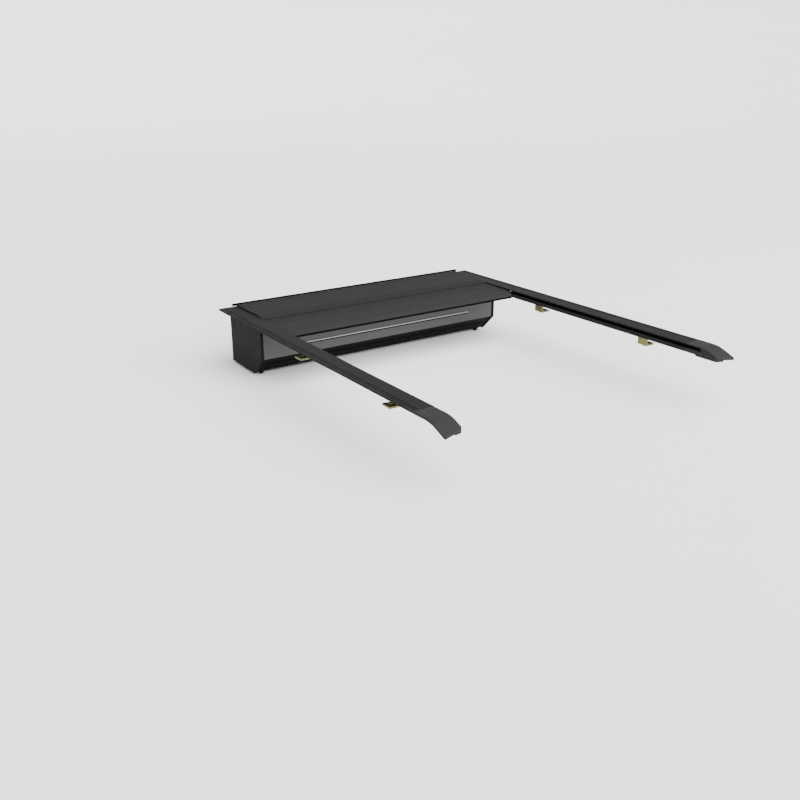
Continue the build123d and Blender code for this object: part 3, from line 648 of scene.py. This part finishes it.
def curtain_web():
    """Slats, hinge strips and gliders of the web, each kind as one piece."""
    slats = bmesh.new()
    strips = bmesh.new()
    gliders = bmesh.new()
    strip_low = slat_low.z + STRIP_LOW
    strip_high = slat_low.z + STRIP_HIGH
    strip_half = SLAT_HALF - STRIP_INSET
    for i in range(WEB_SLATS):
        rear = web_slat_rear(i)
        add_prism(slats, slat_outline(rear, slat_low.z), -SLAT_HALF, SLAT_HALF, folded)
        joint_front = rear + STRIP_LAP
        joint_rear = rear - SLAT_GAP - STRIP_LAP
        joint = [
            (joint_rear, strip_low),
            (joint_front, strip_low),
            (joint_front, strip_high),
            (joint_rear, strip_high),
        ]
        add_prism(strips, joint, -strip_half, strip_half, folded)
        middle = rear + SLAT_LENGTH / 2
        block = [
            (middle + step * MM, GLIDER_BOTTOM + (slat_high.z - GLIDER_BOTTOM) * share)
            for step, share in GLIDER_SECTION
        ]
        for side in (-1, 1):
            inner = side * (SLAT_HALF + GLIDER_CLEARANCE)
            add_prism(gliders, block, inner, side * GLIDER_HALF, folded)
    web_piece("web_slats", slats, materials["slat"])
    web_piece("web_hinge_strips", strips, materials["rubber"])
    web_piece("web_gliders", gliders, materials["nylon"])


# ---- Trim on the canister's rear face ----
# The black lip under the bright strip, a painted shadow line, takes this share of the trim's
# height.
TRIM_SHARE = 0.5
TRIM_RADIUS = 1.6 * MM
SHADOW_LIP_SETBACK = 0.4 * MM
SHADOW_LIP_GAP = 0.1 * MM
SHADOW_LIP_SLOPE_RISE = 0.5 * MM
SHADOW_LIP_SLOPE_RUN = 0.8 * MM


def rear_trim():
    """Bright rounded strip over a black lip that is a painted shadow line below it."""
    low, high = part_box("rear_trim_strip")
    lip = (high.z - low.z) * TRIM_SHARE
    back = high.y
    face = low.y
    front = face + SHADOW_LIP_SETBACK
    top = low.z + lip - SHADOW_LIP_GAP
    section = [
        (back, low.z),
        (front + SHADOW_LIP_SETBACK, low.z),
        (front, low.z + SHADOW_LIP_SETBACK),
        (front, top - SHADOW_LIP_SLOPE_RISE),
        (front + SHADOW_LIP_SLOPE_RUN, top),
        (back, top),
    ]
    # Painted shadow: the black lip stands in for the shadow under the strip.
    base = bmesh.new()
    add_prism(base, section, low.x, high.x)
    carrier = crisp(new_object("trim_painted_shadow_lip", base, materials["rubber"]))
    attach(carrier, "housing")
    outline = arc((face + TRIM_RADIUS, high.z - TRIM_RADIUS), TRIM_RADIUS, 90, 180)
    outline += arc((face + TRIM_RADIUS, low.z + lip + TRIM_RADIUS), TRIM_RADIUS, 180, 270)
    outline += [(back, low.z + lip), (back, high.z)]
    bright = bmesh.new()
    add_prism(bright, outline, low.x, high.x)
    strip = crisp(new_object("trim_strip", bright, materials["strip"]))
    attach(strip, "housing")
    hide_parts("rear_trim_strip")


# ---- Rubber along the rails' outer edges ----
# Millimetres outwards from the edge of the rail's flange.
SEAL_INNER = 0.2
BEAD_INNER, BEAD_MIDDLE, BEAD_OUTER = 3.8, 5.1, 6.4
RIB_OUTER, RIB_MIDDLE, RIB_INNER = -3.4, -5.0, -6.6
RIB_TAPER = 0.4

# Depths below the seal's top, and the rib's height above it.
BEAD_BED = 1.8 * MM
BEAD_SHOULDER = 0.8 * MM
BEAD_CROWN = 0.4 * MM
RIB_ROOT = 0.8 * MM
RIB_EDGE = 0.05 * MM
RIB_PROUD = 0.3 * MM

# The seal's thickness under the flange, and the radius of its outer corner.
SEAL_FOOT = 2.8 * MM
SEAL_CORNER = 2.2 * MM
CORNER_STEPS = 6


def bar_piece(name, outline, y0, y1, material):
    """Straight rubber section along Y, riding on the housing."""
    bm = bmesh.new()
    add_bar(bm, outline, y0, y1)
    piece = crisp(new_object(name, bm, material))
    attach(piece, "housing")
    return piece


def rail_edge(side, sign):
    """Seal strip outside the rail with a black bead let into it, and a rib in the rail's groove."""
    low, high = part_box(f"rail_seal_{side}")
    rail_low, rail_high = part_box(f"side_rail_{side}")
    inner, outer = (low.x, high.x) if sign > 0 else (high.x, low.x)
    flange = rail_high.x if sign > 0 else rail_low.x
    top = high.z

    def out(distance):
        """X this many millimetres outwards from the flange's edge."""
        return flange + sign * distance * MM

    corner = []
    for i in range(CORNER_STEPS + 1):
        turn = math.radians(90.0 * i / CORNER_STEPS)
        x = outer - sign * SEAL_CORNER * (1 - math.cos(turn))
        corner.append((x, top - SEAL_CORNER * (1 - math.sin(turn))))
    bed = top - BEAD_BED
    foot_top = low.z + SEAL_FOOT
    strip = [
        (inner, low.z),
        (outer, low.z),
        *corner,
        (out(BEAD_OUTER), top),
        (out(BEAD_OUTER), bed),
        (out(BEAD_INNER), bed),
        (out(BEAD_INNER), top),
        (out(SEAL_INNER), top),
        (out(SEAL_INNER), foot_top),
        (inner, foot_top),
    ]
    piece = bar_piece(f"seal_strip_{side}", strip, low.y, high.y, materials["side_rubber"])
    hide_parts(f"rail_seal_{side}")
    bead = [
        (out(BEAD_INNER), bed),
        (out(BEAD_OUTER), bed),
        (out(BEAD_OUTER), top - BEAD_SHOULDER),
        (out(BEAD_MIDDLE), top - BEAD_CROWN),
        (out(BEAD_INNER), top - BEAD_SHOULDER),
    ]
    bar_piece(f"seal_bead_{side}", bead, low.y, high.y, materials["rubber"])
    rib = [
        (out(RIB_INNER), top - RIB_EDGE),
        (out(RIB_MIDDLE), top - RIB_ROOT),
        (out(RIB_OUTER), top - RIB_EDGE),
        (out(RIB_OUTER - RIB_TAPER), top + RIB_PROUD),
        (out(RIB_INNER + RIB_TAPER), top + RIB_PROUD),
    ]
    bar_piece(f"rail_bead_{side}", rib, low.y, high.y, materials["rubber"])


# ---- Springs on the lock rods ----
WIRE_RADIUS = 0.45 * MM
COIL_TURNS = 12
STEPS_PER_TURN = 16
WIRE_SIDES = 8
COIL_SHARP_ANGLE = math.radians(60.0)


def bolt_spring(side, sign):
    """Coil on the lock rod that shortens between the rod's collar and its outer guide."""
    low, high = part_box(f"bolt_spring_{side}")
    centre_y = (low.y + high.y) / 2
    centre_z = (low.z + high.z) / 2
    radius = (high.z - low.z) / 2 - WIRE_RADIUS
    fixed_x, moving_x = (high.x, low.x) if sign > 0 else (low.x, high.x)
    length = abs(fixed_x - moving_x) - 2 * WIRE_RADIUS
    bm = bmesh.new()
    rings = []
    for i in range(COIL_TURNS * STEPS_PER_TURN + 1):
        angle = 2 * math.pi * i / STEPS_PER_TURN
        x = moving_x + sign * (WIRE_RADIUS + length * i / (COIL_TURNS * STEPS_PER_TURN))
        outward = Vector((0, math.cos(angle), math.sin(angle)))
        middle = Vector((x, centre_y, centre_z)) + outward * radius
        ring = []
        for k in range(WIRE_SIDES):
            tilt = 2 * math.pi * k / WIRE_SIDES
            offset = outward * (WIRE_RADIUS * math.cos(tilt))
            offset += Vector((WIRE_RADIUS * math.sin(tilt), 0, 0))
            ring.append(bm.verts.new(middle + offset))
        rings.append(ring)
    for first, second in zip(rings, rings[1:]):
        join_rings(bm, first, second)
    bm.faces.new(rings[0])
    bm.faces.new(rings[-1])
    coil = new_object(f"bolt_coil_{side}", bm, materials["spring"])
    piece = crisp(coil, COIL_SHARP_ANGLE)
    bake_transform(piece)
    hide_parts(f"bolt_spring_{side}")


flat_slats()
curtain_web()
rear_trim()
for side, sign in (("left", -1), ("right", 1)):
    rail_edge(side, sign)
    bolt_spring(side, sign)


# ---- Studio ----
# The floor's rings: their radius and their height above the ground.
FLOOR_FLAT = [(3.0, 0.0), (6.0, 0.0), (9.0, 0.0)]
FLOOR_BEND_START = 9.0
FLOOR_BEND_RADIUS = 8.0
FLOOR_BEND_ANGLE = 24.0
FLOOR_BEND_STEPS = 12
FLOOR_WALL = [(15.5, 2.2), (18.0, 3.6), (20.0, 5.4)]
FLOOR_SIDES = 64
FLOOR_CLEARANCE = 1.0 * MM
FADE_START, FADE_END = 1.8, 4.8
FLOOR_GREYS = ((0.83, 0.83, 0.83), (0.85, 0.85, 0.85))
BACKDROP_GREY = (0.18, 0.18, 0.18)


def studio_floor():
    """Pale floor that rises gently into a backdrop all round and fades to grey at the top."""
    ground = cad_box[0][2] - FLOOR_CLEARANCE
    middle = (cad_box[0][1] + cad_box[1][1]) / 2
    profile = list(FLOOR_FLAT)
    for i in range(1, FLOOR_BEND_STEPS + 1):
        angle = math.radians(FLOOR_BEND_ANGLE * i / FLOOR_BEND_STEPS)
        reach = FLOOR_BEND_START + FLOOR_BEND_RADIUS * math.sin(angle)
        profile.append((reach, FLOOR_BEND_RADIUS * (1 - math.cos(angle))))
    profile += FLOOR_WALL
    bm = bmesh.new()
    centre = bm.verts.new((0, middle, ground))
    rings = []
    for reach, rise in profile:
        ring = []
        for k in range(FLOOR_SIDES):
            angle = 2 * math.pi * k / FLOOR_SIDES
            place = (reach * math.cos(angle), middle + reach * math.sin(angle), ground + rise)
            ring.append(bm.verts.new(place))
        rings.append(ring)
    for k in range(FLOOR_SIDES):
        bm.faces.new((centre, rings[0][k], rings[0][(k + 1) % FLOOR_SIDES]))
    for inner, outer in zip(rings, rings[1:]):
        join_rings(bm, outer, inner)
    s = Shader("studio_floor", specular=0.1)
    cloud = s.patches(2.0, detail=3.0, low=0.3, high=0.7)
    pale = s.blend(cloud, *FLOOR_GREYS)
    fade = s.span(s.height(), FADE_START, FADE_END)
    material = s.finish(s.blend(fade, pale, BACKDROP_GREY), 0.8)
    floor = new_object("studio_floor", bm, material)
    floor.data.shade_smooth()


def soft_light(name, place, aim, size, power):
    """Rectangular lamp, size in metres and power in watts."""
    data = bpy.data.lights.new(name, "AREA")
    data.shape = "RECTANGLE"
    data.size, data.size_y = size
    data.energy = power
    lamp = place_in_scene(name, data)
    lamp.location = place
    lamp.rotation_euler = (Vector(aim) - Vector(place)).to_track_quat("-Z", "Y").to_euler()


def overhead_light(strength, spread, tilt_x, tilt_y):
    """Wide sun from above, angles in degrees."""
    data = bpy.data.lights.new("overhead", "SUN")
    data.energy = strength
    data.angle = math.radians(spread)
    lamp = place_in_scene("overhead", data)
    lamp.rotation_euler = (math.radians(tilt_x), math.radians(tilt_y), 0.0)


def sky(strength):
    """Even white light from all round."""
    world = bpy.data.worlds.new("studio")
    world.use_nodes = True
    background = world.node_tree.nodes["Background"]
    background.inputs["Color"].default_value = (1.0, 1.0, 1.0, 1.0)
    background.inputs["Strength"].default_value = strength
    bpy.context.scene.world = world


def studio_lights():
    aim = (0.0, -0.8, 0.0)
    overhead_light(strength=9.5, spread=75.0, tilt_x=40.0, tilt_y=6.0)
    soft_light("rear_left", (-3.2, -3.6, 2.6), aim, size=(3.0, 2.0), power=5.0)
    soft_light("rear_right", (3.6, -3.4, 2.2), aim, size=(2.5, 2.0), power=95.0)
    sky(strength=0.45)


# The photograph's viewpoint, from the truck's wheelbase and its tyres' places on the ground.
CAMERA_PLACE = (-2.1214, -3.5160, 1.0092)
CAMERA_DIRECTION = (0.5253, 0.7738, -0.3542)
CAMERA_LENS = 40.97
CAMERA_SENSOR = 36.0
CAMERA_REACH = 100.0


def camera():
    data = bpy.data.cameras.new("camera")
    data.lens = CAMERA_LENS
    data.sensor_width = CAMERA_SENSOR
    data.clip_end = CAMERA_REACH
    eye = place_in_scene("camera", data)
    eye.location = CAMERA_PLACE
    eye.rotation_euler = Vector(CAMERA_DIRECTION).to_track_quat("-Z", "Y").to_euler()
    bpy.context.scene.camera = eye


studio_floor()
studio_lights()
camera()
